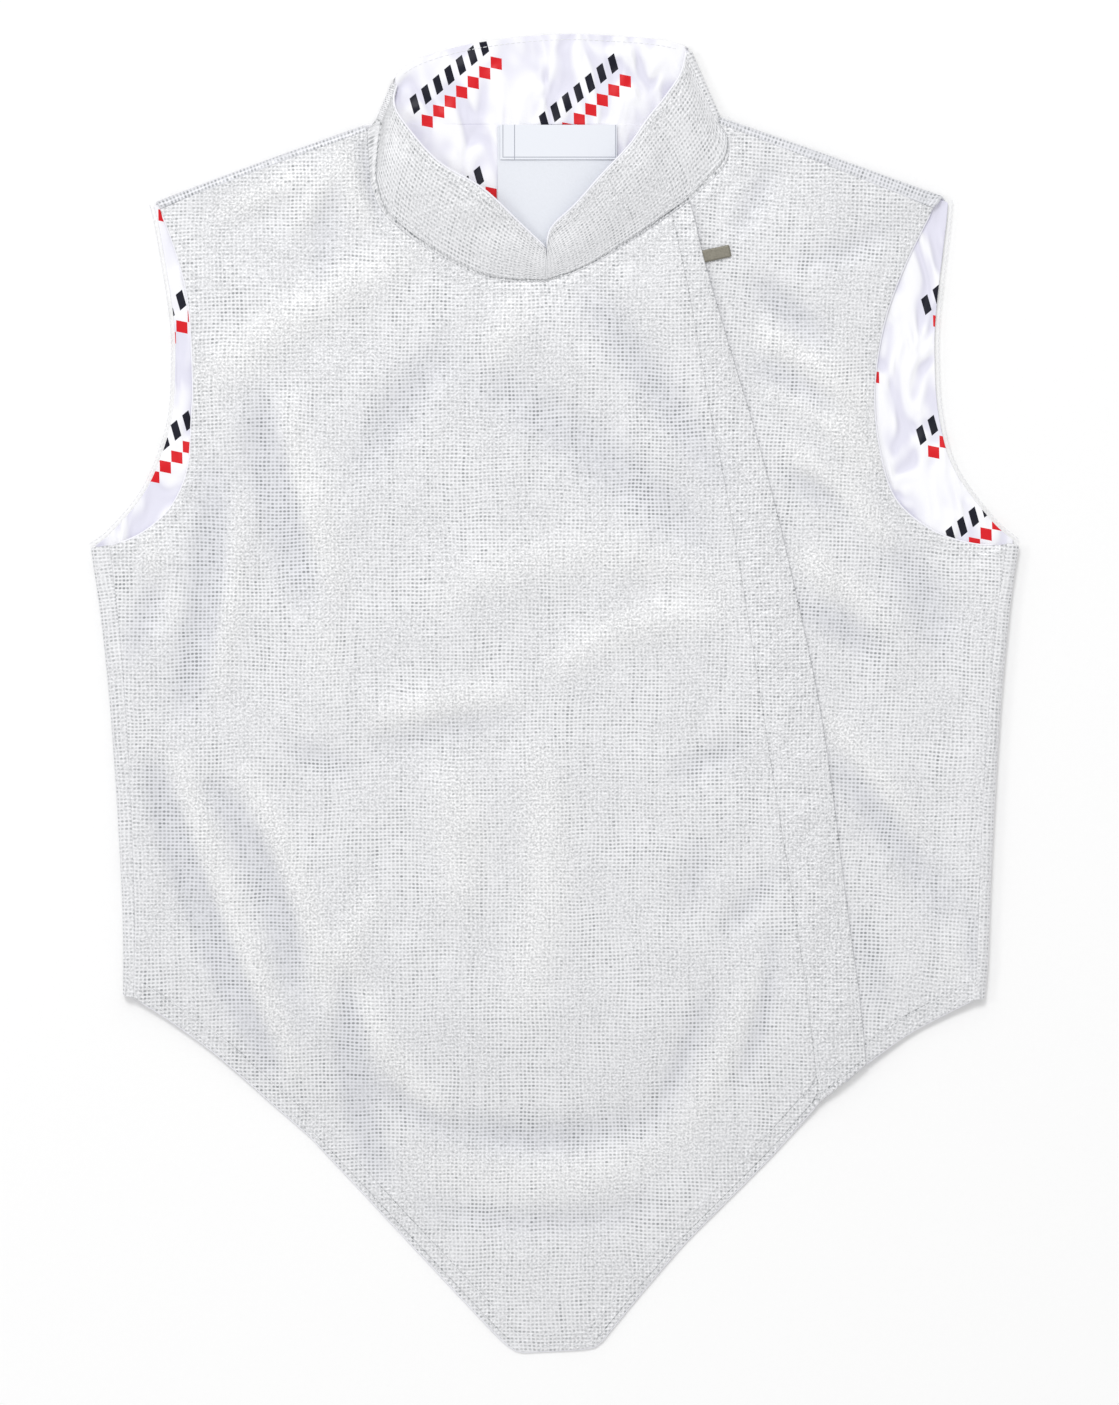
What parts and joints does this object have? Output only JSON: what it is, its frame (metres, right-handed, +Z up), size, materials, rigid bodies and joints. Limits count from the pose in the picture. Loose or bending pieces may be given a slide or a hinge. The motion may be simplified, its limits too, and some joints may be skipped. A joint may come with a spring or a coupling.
{
  "type": "fencing lame",
  "caption": "Sleeveless metallic fencing vest with stand collar, slanted zip flap and pointed front hem, laid flat with the front up.",
  "frame": {"origin": "middle of the vest's outline at the level of the surface it lies on", "axes": "+X to the right as seen from above with the front up (the wearer's left), +Y towards the collar, +Z up from the surface"},
  "size_m": [0.519, 0.7366, 0.0124],
  "materials": {
    "lame_cloth": "silver-grey metallic weave, glinting",
    "satin_lining": "white satin, soft sheen",
    "label_cloth": "smooth white woven label",
    "zip_tape": "white zip tape with moulded teeth",
    "zip_metal": "grey-brown metal, satin"
  },
  "bodies": {
    "vest": {"back_panel": "lame_cloth", "front_panel_right": "lame_cloth", "front_panel_left": "lame_cloth", "zip_flap": "lame_cloth", "collar_back": "lame_cloth", "collar_front_right": "lame_cloth", "collar_front_left": "lame_cloth", "back_lining": "satin_lining", "collar_lining": "satin_lining", "care_label": "label_cloth", "neck_label": "label_cloth", "zip": "zip_tape", "zip_slider": "zip_metal"},
    "pull": {"pull_tab": "zip_metal"}
  },
  "joints": [
    {"name": "pull_swing", "type": "hinge", "parent": "vest", "child": "pull", "pos_m": [0.0748, 0.2425, 0.0081], "axis": [0, 0, 1], "range_deg": [-75, 35]}
  ]
}
